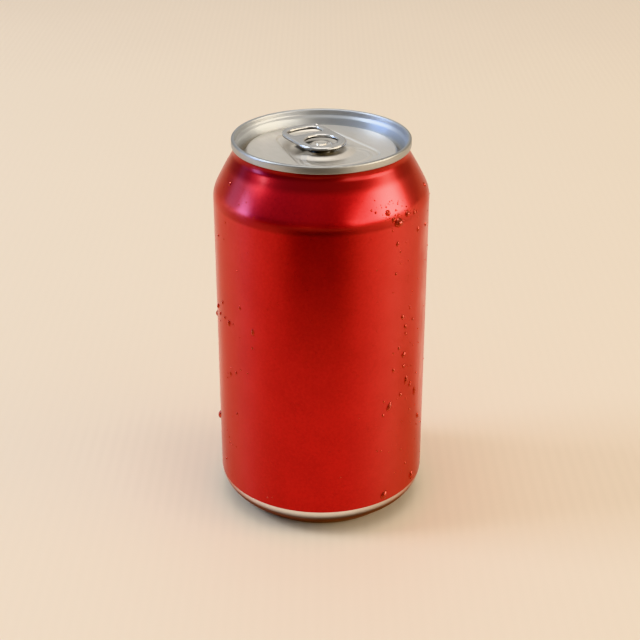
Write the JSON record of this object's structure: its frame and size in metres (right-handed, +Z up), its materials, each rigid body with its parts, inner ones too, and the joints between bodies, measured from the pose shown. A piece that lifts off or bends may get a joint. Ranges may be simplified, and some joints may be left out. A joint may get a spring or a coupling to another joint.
{
  "type": "drink can",
  "caption": "Shut drink can: red lacquered drawn wall, bare domed base with a stand ring, necked-in shoulder, and a seamed recessed lid with a riveted stay-on tab.",
  "frame": {"origin": "centre of the stand ring, on the surface that the can rests on", "axes": "+Z up the can's axis, +Y towards the tab's finger end, -Y towards the mouth under the tab's nose"},
  "size_m": [0.0662, 0.0662, 0.1222],
  "materials": {
    "red_lacquer": "satin metallic red lacquer over aluminium, bare below the print edge near the stand ring",
    "lid_aluminium": "satin rolled sheet, pressed",
    "tab_aluminium": "satin sheet with bright rolled edges",
    "water_drops": "clear condensed water"
  },
  "bodies": {
    "root": {"body": "red_lacquer", "lid": "lid_aluminium", "tab": "tab_aluminium"}
  },
  "joints": []
}
